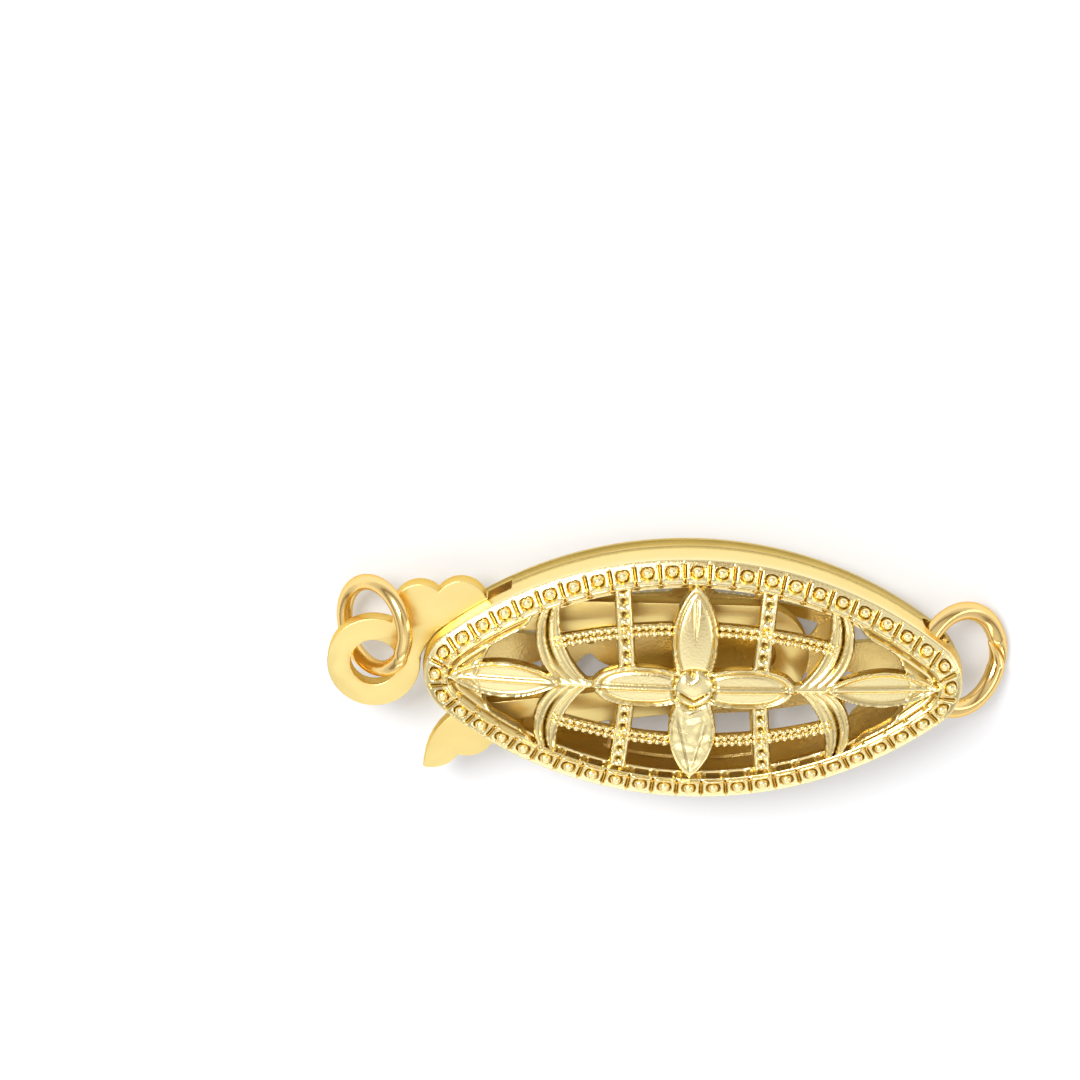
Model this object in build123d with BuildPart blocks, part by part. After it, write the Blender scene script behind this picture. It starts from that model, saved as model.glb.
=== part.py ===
from build123d import *
import os
from math import asin, atan, atan2, cos, degrees, radians, sin, sqrt

os.makedirs("parts", exist_ok=True)

# A gold clasp: a flat U-shaped hook slides into a pierced, domed shell, with a jump ring at each end.
# All sizes are in millimetres. X runs along the clasp, from the hook's eye to the shell's ring, Z is up.
# The origin is the middle of the flat on the back face's boss, which the clasp rests on.

# Shell outline: a lens of two side arcs with rounded tips
shell_length = 14.22
shell_width = 6.83
tip_radius = 1.4

# Shell section, with heights counted from the seam between its two halves
rim_height = 0.85
wall = 0.25
wall_draft = 0.08
ledge = 0.04
border_width = 0.52
border_rise = 0.25
face_thickness = 0.25
crown_height = 1.60
rest_flat = 0.06
seam_width = 0.07
seam_depth = 0.05

# Border of square cells, one pearl in each
cell_count = 48
cell_margin = 0.06
cell_depth = 0.09
cell_rib = 0.10
pearl_diameter = 0.28
pearl_sink = 0.03

# Filigree section: how far each layer's surface, and the face's inside, lie under the crown
bar_drop = 0.16
petal_drop = 0.07
inner_drop = 0.38
frame_overlap = 0.16
frame_lip = 0.12
rib_width = 0.11

# Filigree widths
boss_radius = 0.50
boss_cap = 0.16
boss_stand = 0.06
petal_start = 0.30
petal_blunt = 0.80
side_petal_width = 1.12
cross_petal_width = 1.20
stem_width = 0.26
upright_width = 0.46
rail_width = 0.32
leaf_width = 1.00

# Filigree plan: places along X are shares of the field's half length
side_petal_end = 0.408
upright_foot = 0.262
upright_head = 0.300
scroll_root = 0.405
scroll_waist = 0.507
scroll_inner = 0.541
scroll_node = 0.541
scroll_swell = 0.641
scroll_outer = 0.603
leaf_start = 0.541
rail_reach = 0.565
web_start = 0.790
web_shoulder = 0.830

# Filigree plan: places along Y are shares of the field's half width
cross_petal_end = 0.985
rail_crest = 0.560
rail_end = 0.378
scroll_bend = 0.288
scroll_belly = 0.415
scroll_head = 0.760
web_side = 0.49

# Hook: a flat plate, with its eye on the shell's long axis
plate = 0.50
throat_clearance = 0.06
arm_width = 0.87
arm_length = 7.04
arm_offset = 0.49
arm_spread = 8.3
bend_inner = 0.53
notch_play = 0.06
notch_depth = 0.22
notch_length = 0.71
free_notch_start = 6.25
free_notch_length = 0.75
free_notch_depth = 0.32
eye_distance = 2.97
eye_diameter = 2.45
eye_hole = 1.25
thumb_length = 2.48
thumb_height = 1.29
fishtail_length = 2.05
fishtail_height = 1.64

# Edges of the two tabs: every other row is the middle of an arc, with the ends of the arcs between.
# Columns are the share of the tab's length, from the notch, and of its height, from the arm's inner edge.
thumb_edge = [
    (0.206, 1.000),
    (0.520, 0.783),
    (0.770, 0.922),
    (1.000, 0.372),
]
thumb_neck = [
    (1.012, -0.016),
    (0.718, -0.791),
    (0.601, -0.279),
    (0.347, 0.000),
]
fishtail_edge = [
    (0.171, 0.799),
    (0.537, 0.835),
    (0.732, 0.994),
    (0.961, 1.000),
    (1.000, 0.970),
    (0.995, 0.909),
    (0.766, 0.360),
    (0.268, 0.000),
]

# Jump rings
shell_ring_radius = 1.33
shell_ring_wire = 0.48
tongue_ring_radius = 1.17
tongue_ring_wire = 0.42
ring_cut = 0.03
ring_cut_angle = 28.0
ring_hole = 0.92
upper_hole_along = 1.55
lower_hole_along = 1.10
floor_gap = 0.01
tongue_ring_lean = 45.0
tongue_ring_offset = 0.95

# Shell construction, from the sizes above
half_length = shell_length / 2
half_width = shell_width / 2
tip_x = half_length - tip_radius
side_radius = (tip_x**2 + half_width**2 - tip_radius**2) / (shell_width - 2 * tip_radius)
side_offset = side_radius - half_width
side_lean = atan2(side_offset, tip_x)
mid_z = crown_height - rest_flat
field_inset = wall_draft + ledge + border_width
field_half_width = half_width - field_inset
field_half_length = half_length - field_inset
field_rise = crown_height - rim_height - border_rise
cross_radius = (field_half_width**2 + field_rise**2) / (2 * field_rise)
long_radius = (field_half_length**2 + field_rise**2) / (2 * field_rise)
draft_angle = degrees(atan(wall_draft / rim_height))
border_slope = degrees(atan(border_width / border_rise))
seam = Plane.XY.offset(mid_z)


def field_x(share):
    """Place along X at a share of the field's half length."""
    return share * field_half_length


def field_y(share):
    """Place along Y at a share of the field's half width."""
    return share * field_half_width


def side_x(y, inset):
    """How far along X the inset outline's side arc is when it is y from the long axis."""
    return sqrt((side_radius - inset) ** 2 - (y + side_offset) ** 2)


def outline(inset):
    """The shell's outline, moved inwards by inset."""
    join_x = (side_radius - inset) * cos(side_lean)
    join_y = (side_radius - inset) * sin(side_lean) - side_offset
    with BuildSketch() as shape:
        with BuildLine():
            ThreePointArc((join_x, -join_y), (half_length - inset, 0), (join_x, join_y))
            ThreePointArc((join_x, join_y), (0, half_width - inset), (-join_x, join_y))
            ThreePointArc((-join_x, join_y), (inset - half_length, 0), (-join_x, -join_y))
            ThreePointArc((-join_x, -join_y), (0, inset - half_width), (join_x, -join_y))
        make_face()
    return shape.sketch


def tip_point(along, inset):
    """Point and outward direction at a distance along the seam's outline from the right tip."""
    tip_run = tip_radius * side_lean
    if abs(along) <= tip_run:
        turn = along / tip_radius
        point = Vector(tip_x, 0) + Vector(cos(turn), sin(turn)) * (tip_radius - inset)
    else:
        side = 1 if along > 0 else -1
        turn = side * (side_lean + (abs(along) - tip_run) / side_radius)
        point = Vector(0, -side * side_offset) + Vector(cos(turn), sin(turn)) * (side_radius - inset)
    return point, Vector(cos(turn), sin(turn))


def vault(drop):
    """Everything under a face's domed surface, lowered by drop."""
    axis_z = mid_z + crown_height - cross_radius
    crest = cross_radius - drop
    flank = crest - long_radius + sqrt(long_radius**2 - half_length**2)
    with BuildPart() as dome:
        with BuildSketch(Plane.XZ):
            with BuildLine():
                ThreePointArc(
                    (-half_length, axis_z - flank), (0, axis_z - crest), (half_length, axis_z - flank)
                )
                Polyline(
                    (half_length, axis_z - flank), (half_length, axis_z),
                    (-half_length, axis_z), (-half_length, axis_z - flank),
                )
            make_face()
        revolve(axis=Axis((0, 0, axis_z), (1, 0, 0)))
    return dome.part


def leaf(start, end, blunt, width):
    """A leaf along +X: a blunt end at start, widest in the middle, a point at end."""
    middle = (start + end) / 2
    with BuildSketch() as shape:
        with BuildLine():
            ThreePointArc((start, blunt / 2), (middle, width / 2), (end, 0))
            ThreePointArc((end, 0), (middle, -width / 2), (start, -blunt / 2))
            Line((start, -blunt / 2), (start, blunt / 2))
        make_face()
    return shape.sketch


def rail():
    """The curved rail of the lattice's upper half, from scroll to scroll."""
    reach = field_x(rail_reach)
    upper = rail_width / 2
    with BuildSketch() as shape:
        with BuildLine():
            ThreePointArc(
                (-reach, field_y(rail_end) + upper), (0, field_y(rail_crest) + upper),
                (reach, field_y(rail_end) + upper),
            )
            Line((reach, field_y(rail_end) + upper), (reach, field_y(rail_end) - upper))
            ThreePointArc(
                (reach, field_y(rail_end) - upper), (0, field_y(rail_crest) - upper),
                (-reach, field_y(rail_end) - upper),
            )
            Line((-reach, field_y(rail_end) - upper), (-reach, field_y(rail_end) + upper))
        make_face()
    return shape.sketch


def scroll():
    """A scroll leaf of the upper right quarter, from the stem out to the border."""
    root = (field_x(scroll_root), 0)
    inner = (field_x(scroll_inner), field_y(scroll_head))
    outer = (field_x(scroll_outer), field_y(scroll_head))
    node = (field_x(scroll_node), 0)
    with BuildSketch() as shape:
        with BuildLine():
            ThreePointArc(root, (field_x(scroll_waist), field_y(scroll_bend)), inner)
            Line(inner, outer)
            ThreePointArc(outer, (field_x(scroll_swell), field_y(scroll_belly)), node)
            Line(node, root)
        make_face()
    return shape.sketch


def upright():
    """A lattice upright of the upper right quarter, from the side petal to the border."""
    foot = Vector(field_x(upright_foot), 0)
    head = Vector(field_x(upright_head), field_half_width)
    run = head - foot
    middle = (foot + head) / 2
    with BuildSketch() as shape:
        with Locations(Location((middle.X, middle.Y, 0), (0, 0, degrees(atan2(run.Y, run.X))))):
            Rectangle(run.length, upright_width)
    return shape.sketch


# Places of the border's cells: evenly spaced along the middle of the sloping border, from the right tip
pearl_inset = wall_draft + ledge + border_width / 2
pearl_line = outline(pearl_inset).face().outer_wire()
cell_pitch = pearl_line.length / cell_count


def border_place(steps):
    """Place on the pearl line, turned along it, a number of cell steps from the right tip."""
    along = (tip_radius - pearl_inset) * side_lean + steps * cell_pitch
    along = along % pearl_line.length
    point = pearl_line.position_at(along, position_mode=PositionMode.LENGTH)
    course = pearl_line.tangent_at(along, position_mode=PositionMode.LENGTH)
    return Location((point.X, point.Y, 0), (0, 0, degrees(atan2(course.Y, course.X))))


cell_places = [border_place(index) for index in range(cell_count)]
rib_places = [border_place(index + 0.5) for index in range(cell_count)]

# The sloping border's floor, which the cells are sunk to
with BuildPart() as cell_floor:
    with BuildSketch(seam):
        add(outline(wall_draft))
    extrude(amount=rim_height - cell_depth)
    with BuildSketch(seam.offset(rim_height - cell_depth)):
        add(outline(wall_draft + ledge))
    extrude(amount=border_rise, taper=border_slope)

# The cells' hollows, between thin ribs
with BuildPart() as cells:
    with BuildSketch(seam):
        add(outline(wall_draft + ledge + cell_margin))
        add(outline(field_inset - frame_lip), mode=Mode.SUBTRACT)
        with Locations(*rib_places):
            Rectangle(cell_rib, 2 * border_width, mode=Mode.SUBTRACT)
    extrude(amount=crown_height)
    add(cell_floor.part, mode=Mode.SUBTRACT)

# Plan of the lattice: uprights, rails, stems, scroll leaves and the webs that carry the end leaves' tips
with BuildSketch() as lattice:
    add(upright())
    add(scroll())
    with BuildLine():
        Polyline(
            (field_x(web_start), 0), (field_x(web_start), leaf_width / 2),
            (field_x(web_shoulder), field_y(web_side)), (field_half_length, field_y(web_side)),
            (field_half_length, 0), close=True,
        )
    make_face()
    with Locations((field_x(side_petal_end + scroll_node) / 2, 0)):
        Rectangle(field_x(scroll_node - side_petal_end) + stem_width, stem_width)
    mirror(about=Plane.XZ)
    mirror(about=Plane.YZ)
    add(rail())
    mirror(about=Plane.XZ)
    add(outline(field_inset - frame_overlap), mode=Mode.INTERSECT)
with BuildSketch() as frame:
    add(outline(field_inset - frame_overlap))
    add(outline(field_inset + frame_lip), mode=Mode.SUBTRACT)

# Plan of the four petals and the two end leaves
side_petal = leaf(petal_start, field_x(side_petal_end), petal_blunt, side_petal_width)
cross_petal = leaf(petal_start, field_y(cross_petal_end), petal_blunt, cross_petal_width)
end_leaf = leaf(field_x(leaf_start), field_half_length, rib_width, leaf_width)
with BuildSketch() as petals:
    add(side_petal)
    add(end_leaf)
    mirror(about=Plane.YZ)
    with Locations(Location((0, 0, 0), (0, 0, 90)), Location((0, 0, 0), (0, 0, -90))):
        add(cross_petal)

# Plan of the raised midribs, along the side petals and the end leaves
with BuildSketch() as midribs:
    with Locations((field_half_length / 2, 0)):
        Rectangle(field_half_length, rib_width)
    mirror(about=Plane.YZ)


def relief(plan, drop):
    """Part of a face's filigree: a plan raised to the domed surface lowered by drop."""
    with BuildPart() as layer:
        with BuildSketch(seam.offset(rim_height / 2)):
            add(plan)
        extrude(amount=crown_height)
        add(vault(drop), mode=Mode.INTERSECT)
        add(vault(inner_drop), mode=Mode.SUBTRACT)
    return layer.part


lattice_layer = relief(lattice.sketch + frame.sketch, bar_drop)
petal_layer = relief(petals.sketch, petal_drop)
midrib_layer = relief(midribs.sketch, 0)

# The round boss that the four petals meet at
boss_top = mid_z + crown_height + boss_stand
boss_round = (boss_radius**2 + boss_cap**2) / (2 * boss_cap)
with BuildPart() as boss:
    with Locations((0, 0, boss_top - boss_round)):
        Sphere(boss_round)
    with BuildSketch(seam.offset(crown_height - inner_drop)):
        Circle(boss_radius)
    extrude(amount=inner_drop + boss_stand, mode=Mode.INTERSECT)

# One half of the shell: drafted wall, ledge, sloping border with its cells and pearls, and filigree
with BuildPart() as half:
    with BuildSketch(seam):
        add(outline(0))
    extrude(amount=rim_height, taper=draft_angle)
    with BuildSketch(seam.offset(rim_height)):
        add(outline(wall_draft + ledge))
    extrude(amount=border_rise, taper=border_slope)
    with BuildSketch(seam):
        add(outline(wall))
    extrude(amount=rim_height - face_thickness, taper=draft_angle, mode=Mode.SUBTRACT)
    with BuildSketch(seam.offset(rim_height - face_thickness)):
        add(outline(wall + wall_draft))
    extrude(amount=border_rise, taper=border_slope, mode=Mode.SUBTRACT)
    with BuildSketch(seam):
        add(outline(field_inset))
    extrude(amount=crown_height, mode=Mode.SUBTRACT)
    add(cells.part, mode=Mode.SUBTRACT, clean=False)
    add(lattice_layer, clean=False)
    add(petal_layer, clean=False)
    add(midrib_layer, clean=False)
    add(boss.part, clean=False)
    with Locations(*[Pos(0, 0, mid_z + rim_height + border_rise / 2 - pearl_sink) * p for p in cell_places]):
        Sphere(pearl_diameter / 2)


# The shell: two soldered halves with the seam's groove, the throat for the hook, and the ring's holes
throat_height = plate + 2 * throat_clearance
arm_inner = arm_offset + bend_inner
arm_outer = arm_inner + arm_width
throat_upper_x = -side_x(arm_outer + throat_clearance, wall + wall_draft / 2)
tab_start = throat_upper_x + notch_play - notch_length
eye_x = tab_start - eye_distance
bend_centre = Vector(tab_start + arm_length, arm_offset)
spread = radians(arm_spread)
free_along = Vector(-cos(spread), -sin(spread))
free_out = Vector(sin(spread), -cos(spread))
free_shoulder = bend_centre + free_along * free_notch_start + free_out * (bend_inner + arm_width)
throat_lower_x = -side_x(-free_shoulder.Y + throat_clearance, wall + wall_draft / 2)
upper_hole, upper_course = tip_point(upper_hole_along, wall / 2)
lower_hole, lower_course = tip_point(-lower_hole_along, wall / 2)

with BuildPart() as shell:
    add(half.part, clean=False)
    add(half.part.mirror(seam), clean=False)
    with BuildSketch(seam.offset(-seam_width / 2)):
        add(outline(-wall))
        add(outline(seam_depth), mode=Mode.SUBTRACT)
    extrude(amount=seam_width, mode=Mode.SUBTRACT, clean=False)
    with BuildSketch(seam.offset(-throat_height / 2)):
        with BuildLine():
            Polyline(
                (-shell_length, -shell_width), (throat_lower_x, -shell_width), (throat_lower_x, 0),
                (throat_upper_x, 0), (throat_upper_x, shell_width), (-shell_length, shell_width),
                close=True,
            )
        make_face()
    extrude(amount=throat_height, mode=Mode.SUBTRACT, clean=False)
    for hole, course in ((upper_hole, upper_course), (lower_hole, lower_course)):
        with BuildSketch(Plane((hole.X, hole.Y, mid_z), z_dir=course)):
            Circle(ring_hole / 2)
        extrude(amount=2 * wall, both=True, mode=Mode.SUBTRACT, clean=False)
    with BuildSketch(Plane.XY):
        Rectangle(2 * shell_length, 2 * shell_width)
    extrude(amount=-crown_height, mode=Mode.SUBTRACT, clean=False)
shell.part.label = "shell"
export_step(shell.part, "parts/shell.step")


# The hook: a flat plate bent into a U, its eye at the left and its two arms spread like a spring
arm_end = tab_start - arm_width / 2
free_end = free_notch_start + free_notch_length


def on_free_arm(along, out):
    """A point of the free arm: along it from the bend's centre, and out from its line through there."""
    point = bend_centre + free_along * along + free_out * out
    return (point.X, point.Y)


def on_thumb(along, up):
    """A point of the thumb tab's edge, at shares of its length and height."""
    return (tab_start - along * thumb_length, arm_inner + up * thumb_height)


def on_fishtail(along, out):
    """A point of the fishtail tab's edge, at shares of its length and height."""
    return on_free_arm(free_end + along * fishtail_length, bend_inner + out * fishtail_height)


def arcs(points):
    """Arcs end to end, each from one point through the next to the one after that."""
    with BuildLine() as run:
        for start, middle, end in zip(points[0::2], points[1::2], points[2::2]):
            ThreePointArc(start, middle, end)
    return run.line


thumb_root = (tab_start, arm_outer - notch_depth)
thumb_foot = (tab_start, arm_inner)
thumb_points = [on_thumb(*row) for row in thumb_edge]
neck_points = [on_thumb(*row) for row in thumb_neck]
fishtail_root = on_free_arm(free_end, bend_inner + arm_width - free_notch_depth)
fishtail_foot = on_free_arm(free_end, bend_inner)
fishtail_points = [on_fishtail(*row) for row in fishtail_edge]

with BuildPart() as tongue:
    with BuildSketch(seam.offset(-plate / 2)):
        # bend and both arms, with the long slot between them
        with Locations(bend_centre):
            Circle(bend_inner + arm_width)
        with BuildLine():
            Polyline(
                bend_centre, (bend_centre.X, arm_outer), (arm_end, arm_outer), (arm_end, arm_offset),
                close=True,
            )
        make_face()
        with BuildLine():
            Polyline(
                bend_centre, on_free_arm(0, bend_inner + arm_width),
                on_free_arm(free_end, bend_inner + arm_width), on_free_arm(free_end, 0), close=True,
            )
        make_face()
        with Locations(bend_centre):
            Circle(bend_inner, mode=Mode.SUBTRACT)
        with BuildLine():
            Polyline(
                bend_centre, (bend_centre.X, arm_inner), (2 * eye_x, arm_inner),
                on_free_arm(-2 * eye_x, bend_inner), on_free_arm(0, bend_inner), close=True,
            )
        make_face(mode=Mode.SUBTRACT)
        # notches that catch on the throat's ends
        with BuildLine():
            Polyline(
                thumb_root, (tab_start + notch_length, arm_outer - notch_depth),
                (tab_start + notch_length, half_width), (tab_start, half_width), close=True,
            )
        make_face(mode=Mode.SUBTRACT)
        with BuildLine():
            Polyline(
                fishtail_root, on_free_arm(free_notch_start, bend_inner + arm_width - free_notch_depth),
                on_free_arm(free_notch_start, half_width), on_free_arm(free_end, half_width), close=True,
            )
        make_face(mode=Mode.SUBTRACT)
        # thumb tab with two lobes, running into the eye
        with BuildLine():
            add(arcs([thumb_root, *thumb_points]))
            Polyline(thumb_points[-1], neck_points[0], neck_points[1])
            add(arcs(neck_points[1:]))
            Polyline(neck_points[-1], thumb_foot, thumb_root)
        make_face()
        with Locations((eye_x, 0)):
            Circle(eye_diameter / 2)
            Circle(eye_hole / 2, mode=Mode.SUBTRACT)
        # fishtail tab on the free arm
        with BuildLine():
            add(arcs([fishtail_root, *fishtail_points]))
            Polyline(fishtail_points[-1], fishtail_foot, fishtail_root)
        make_face()
    extrude(amount=plate)
tongue.part.label = "tongue"
export_step(tongue.part, "parts/tongue.step")


def jump_ring(ring_plane, radius, wire):
    """An open jump ring in the plane's X-Y, cut aslant where it crosses the plane's X."""
    with BuildPart(ring_plane) as ring:
        Torus(radius, wire / 2)
        with Locations(Location((radius, 0, 0), (0, 0, ring_cut_angle))):
            Box(4 * wire, ring_cut, 2 * wire, mode=Mode.SUBTRACT)
    return ring.part


# The shell's ring swings on the chord between its two holes, and droops until it meets what the clasp lies on
chord = upper_hole - lower_hole
chord_middle = (upper_hole + lower_hole) / 2
chord_out = Vector(chord.Y, -chord.X).normalized()
ring_reach = sqrt(shell_ring_radius**2 - (chord.length / 2) ** 2)
droop = asin((mid_z - shell_ring_wire / 2 - floor_gap) / (ring_reach + shell_ring_radius))
ring_out = chord_out * cos(droop) - Vector(0, 0, sin(droop))
shell_ring_centre = Vector(chord_middle.X, chord_middle.Y, mid_z) + ring_out * ring_reach
with BuildPart() as shell_ring:
    add(jump_ring(
        Plane(shell_ring_centre, x_dir=ring_out, z_dir=ring_out.cross(chord.normalized())),
        shell_ring_radius, shell_ring_wire,
    ))
shell_ring.part.label = "shell_ring"
export_step(shell_ring.part, "parts/shell_ring.step")

# The hook's ring leans through its eye, with the strand towards the shell on top
lean = radians(tongue_ring_lean)
lean_out = Vector(cos(lean), 0, sin(lean))
with BuildPart() as tongue_ring:
    add(jump_ring(
        Plane((eye_x, tongue_ring_offset, mid_z), x_dir=lean_out, z_dir=lean_out.cross(Vector(0, 1, 0))),
        tongue_ring_radius, tongue_ring_wire,
    ))
tongue_ring.part.label = "tongue_ring"
export_step(tongue_ring.part, "parts/tongue_ring.step")
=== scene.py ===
# %% [markdown]
# The clasp is 18 mm of yellow gold: a hollow filigree shell, a flat hook that slides into it and two jump
# rings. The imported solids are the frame. Every visible piece is made where its solid is, and rides on the
# same body.

# %% Frame and tools
from math import atan2, cos, pi, radians, sin, sqrt

import bmesh
import bpy
import numpy as np
from mathutils import Matrix, Vector


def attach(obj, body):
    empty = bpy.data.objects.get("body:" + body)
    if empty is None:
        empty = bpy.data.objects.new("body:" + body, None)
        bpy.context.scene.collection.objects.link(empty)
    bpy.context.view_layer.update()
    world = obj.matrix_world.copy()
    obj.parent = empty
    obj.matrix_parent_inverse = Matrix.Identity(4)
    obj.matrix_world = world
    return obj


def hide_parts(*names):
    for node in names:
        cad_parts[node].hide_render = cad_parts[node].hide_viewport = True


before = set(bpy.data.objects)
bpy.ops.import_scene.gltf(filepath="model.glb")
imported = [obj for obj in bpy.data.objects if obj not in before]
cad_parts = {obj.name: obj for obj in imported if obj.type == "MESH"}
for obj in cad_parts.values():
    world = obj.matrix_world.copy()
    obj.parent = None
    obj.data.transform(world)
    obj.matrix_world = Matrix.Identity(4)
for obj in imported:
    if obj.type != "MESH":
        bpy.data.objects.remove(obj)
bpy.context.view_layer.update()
MM = 0.001


def placed(name, data):
    """An object at the origin, in the scene."""
    made = bpy.data.objects.new(name, data)
    bpy.context.scene.collection.objects.link(made)
    return made


# %% [markdown]
# The photograph looks down on the clasp from behind its far side, 70 degrees above the table, with a slight
# roll. A long lens from about 107 mm away keeps the shell's two tips almost the same size, as a product
# photographer does.

# %% Camera
camera_tilt = radians(20.0)
camera_roll = radians(1.6)
frame_width = 28.42 * MM
lens = 135.0
sensor = 36.0
aim_right = -4.005 * MM
aim_up = 3.36 * MM
seam_z = 1.54 * MM

back = Vector((0, sin(camera_tilt), cos(camera_tilt)))
level_right = Vector((1, 0, 0))
level_up = back.cross(level_right)
right = level_right * cos(camera_roll) + level_up * sin(camera_roll)
up = level_up * cos(camera_roll) - level_right * sin(camera_roll)
camera_distance = frame_width * lens / sensor
aim = Vector((0, 0, seam_z)) + right * aim_right + up * aim_up

camera = placed("camera", bpy.data.cameras.new("camera"))
camera.data.lens = lens
camera.data.sensor_width = sensor
camera.data.clip_start = camera_distance / 20
camera.data.clip_end = camera_distance * 40
camera.rotation_mode = "QUATERNION"
camera.location = aim + back * camera_distance
camera.rotation_quaternion = Matrix((right, up, back)).transposed().to_quaternion()
bpy.context.scene.camera = camera
print("camera distance in mm:", round(camera_distance / MM, 1))

# %% [markdown]
# Node trees read better as arithmetic. A Wire wraps a socket, so that 1 - mask adds its own Math node, and
# a Board adds any node from its type, its settings and what its sockets take. Both serve materials and
# geometry.

# %% Node helpers
class Wire:
    """The value of a socket in a node tree."""

    def __init__(self, board, socket):
        self.board = board
        self.socket = socket

    def math(self, operation, *values):
        return self.board.add("ShaderNodeMath", dict(enumerate(values)), operation=operation)

    def __add__(self, other):
        return self.math("ADD", self, other)

    __radd__ = __add__

    def __sub__(self, other):
        return self.math("SUBTRACT", self, other)

    def __rsub__(self, other):
        return self.math("SUBTRACT", other, self)

    def __mul__(self, other):
        return self.math("MULTIPLY", self, other)

    __rmul__ = __mul__


class Board:
    """Adds nodes to a tree."""

    def __init__(self, tree):
        self.tree = tree

    def add(self, kind, inputs=None, out=0, stops=None, **settings):
        """A node's output, once it has its settings, its ramp's stops and its inputs."""
        node = self.tree.nodes.new(kind)
        for name, value in settings.items():
            setattr(node, name, value)
        if stops:
            ramp = node.color_ramp.elements
            while len(ramp) < len(stops):
                ramp.new(1.0)
            for stop, (place, colour) in zip(ramp, stops):
                stop.position = place
                stop.color = (*colour, 1.0)
        self.feed(node, inputs or {})
        return Wire(self, node.outputs[out])

    def mix(self, factor, first, second):
        """Two colours mixed by a factor."""
        return self.add("ShaderNodeMix", {0: factor, 6: first, 7: second}, out=2, data_type="RGBA")

    def feed(self, node, inputs):
        """Links wires to a node's sockets, and sets the others."""
        for name, value in inputs.items():
            if isinstance(value, Wire):
                self.tree.links.new(value.socket, node.inputs[name])
            else:
                node.inputs[name].default_value = value


# %% [markdown]
# Gold has no colour of its own but that of its reflections: light that bounces in recesses comes out deeper
# and browner. So each finish is a metal with a pale gold reflectance, and an attribute paints that shade into
# its colour: in recesses, on the back half's wall, inside and under the shell and on the hook's cut sides.
# What differs is the surface. The cast shell keeps a fine skin from the mould, the stamped hook is satin with
# faint rolling marks along it, and the drawn wire of the rings is the brightest.

# %% Gold finishes
patches_per_mm = 0.9


def gold(name, tone, shade_warm, shade_deep, roughness, rough_spread, grain, grain_size, streak=1.0, mottle=0.05):
    """A gold finish: its tone, the two colours of its painted shade, its roughness, and its grain's height
    and size.
    """
    material = bpy.data.materials.new(name)
    material.use_nodes = True
    board = Board(material.node_tree)
    shader = material.node_tree.nodes["Principled BSDF"]
    board.feed(shader, {"Metallic": 1.0, "Specular Tint": (*tone, 1)})
    place = board.add("ShaderNodeTexCoord", out="Object")
    place = board.add("ShaderNodeMapping", {0: place, "Scale": (streak, 1.0, 1.0)})
    cloud = board.add("ShaderNodeTexNoise", {"Vector": place, "Scale": patches_per_mm / MM, "Detail": 3.0})
    skin = board.add("ShaderNodeTexNoise", {"Vector": place, "Scale": 1 / grain_size, "Detail": 4.0})
    # The attribute's amount is painted shade: a ramp turns the tone towards the two shade colours, and the
    # amount also roughens the surface.
    painted_shade = board.add("ShaderNodeAttribute", out="Fac", attribute_name="painted_shade")
    worn = board.add("ShaderNodeMapRange", {"Value": cloud, "From Min": 0.35, "From Max": 0.65})
    stops = (0.0, tone), (0.5, shade_warm), (1.0, shade_deep)
    colour = board.add("ShaderNodeValToRGB", {"Fac": painted_shade + mottle * worn}, stops=stops)
    rough = roughness + rough_spread * (worn + painted_shade)
    bump = board.add("ShaderNodeBump", {"Strength": 1.0, "Distance": grain, "Height": skin})
    board.feed(shader, {"Base Color": colour, "Roughness": rough, "Normal": bump})
    return material


# Each finish's second and third colours are those of its painted shade.
cast_gold = gold(
    "cast_gold", tone=(0.98, 0.84, 0.45), shade_warm=(0.80, 0.60, 0.23), shade_deep=(0.15, 0.095, 0.025),
    roughness=0.20, rough_spread=0.06, grain=0.006 * MM, grain_size=0.07 * MM,
)
satin_gold = gold(
    "satin_gold", tone=(0.95, 0.76, 0.31), shade_warm=(0.84, 0.61, 0.21), shade_deep=(0.60, 0.34, 0.06),
    roughness=0.30, rough_spread=0.08, grain=0.002 * MM, grain_size=0.05 * MM, streak=0.35, mottle=0.16,
)
wire_gold = gold(
    "wire_gold", tone=(0.92, 0.67, 0.27), shade_warm=(0.84, 0.50, 0.12), shade_deep=(0.60, 0.34, 0.06),
    roughness=0.14, rough_spread=0.05, grain=0.002 * MM, grain_size=0.12 * MM,
)
print("finishes:", cast_gold.name, satin_gold.name, wire_gold.name)

# %% [markdown]
# The shell is two cast halves that meet in a seam. Its outline is a lens: two long arcs with small round
# tips. The sizes are the solids' own. Inside the border of cells, the field that is left carries the
# filigree on a dome.

# %% Shell sizes, in millimetres as the solids have them
half_length = 7.11
half_width = 3.415
tip_radius = 1.4
rim_height = 0.85
wall = 0.25
wall_draft = 0.08
ledge = 0.04
border_width = 0.52
border_rise = 0.25
crown_height = 1.60
rest_flat = 0.06

tip_x = half_length - tip_radius
side_radius = (tip_x**2 + half_width**2 - tip_radius**2) / (2 * (half_width - tip_radius))
side_offset = side_radius - half_width
side_lean = atan2(side_offset, tip_x)
seam_height = crown_height - rest_flat
field_inset = wall_draft + ledge + border_width
field_rise = crown_height - rim_height - border_rise
field_half_width = half_width - field_inset
field_half_length = half_length - field_inset
cross_radius = (field_half_width**2 + field_rise**2) / (2 * field_rise)
long_radius = (field_half_length**2 + field_rise**2) / (2 * field_rise)
print("side arcs in mm:", round(side_radius, 2), "half field:", field_half_length, field_half_width)

# %% [markdown]
# The same outline, moved inwards, carries the wall, the border of cells and the filigree's edge, so one
# function gives a point of it from the direction it faces.

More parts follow.
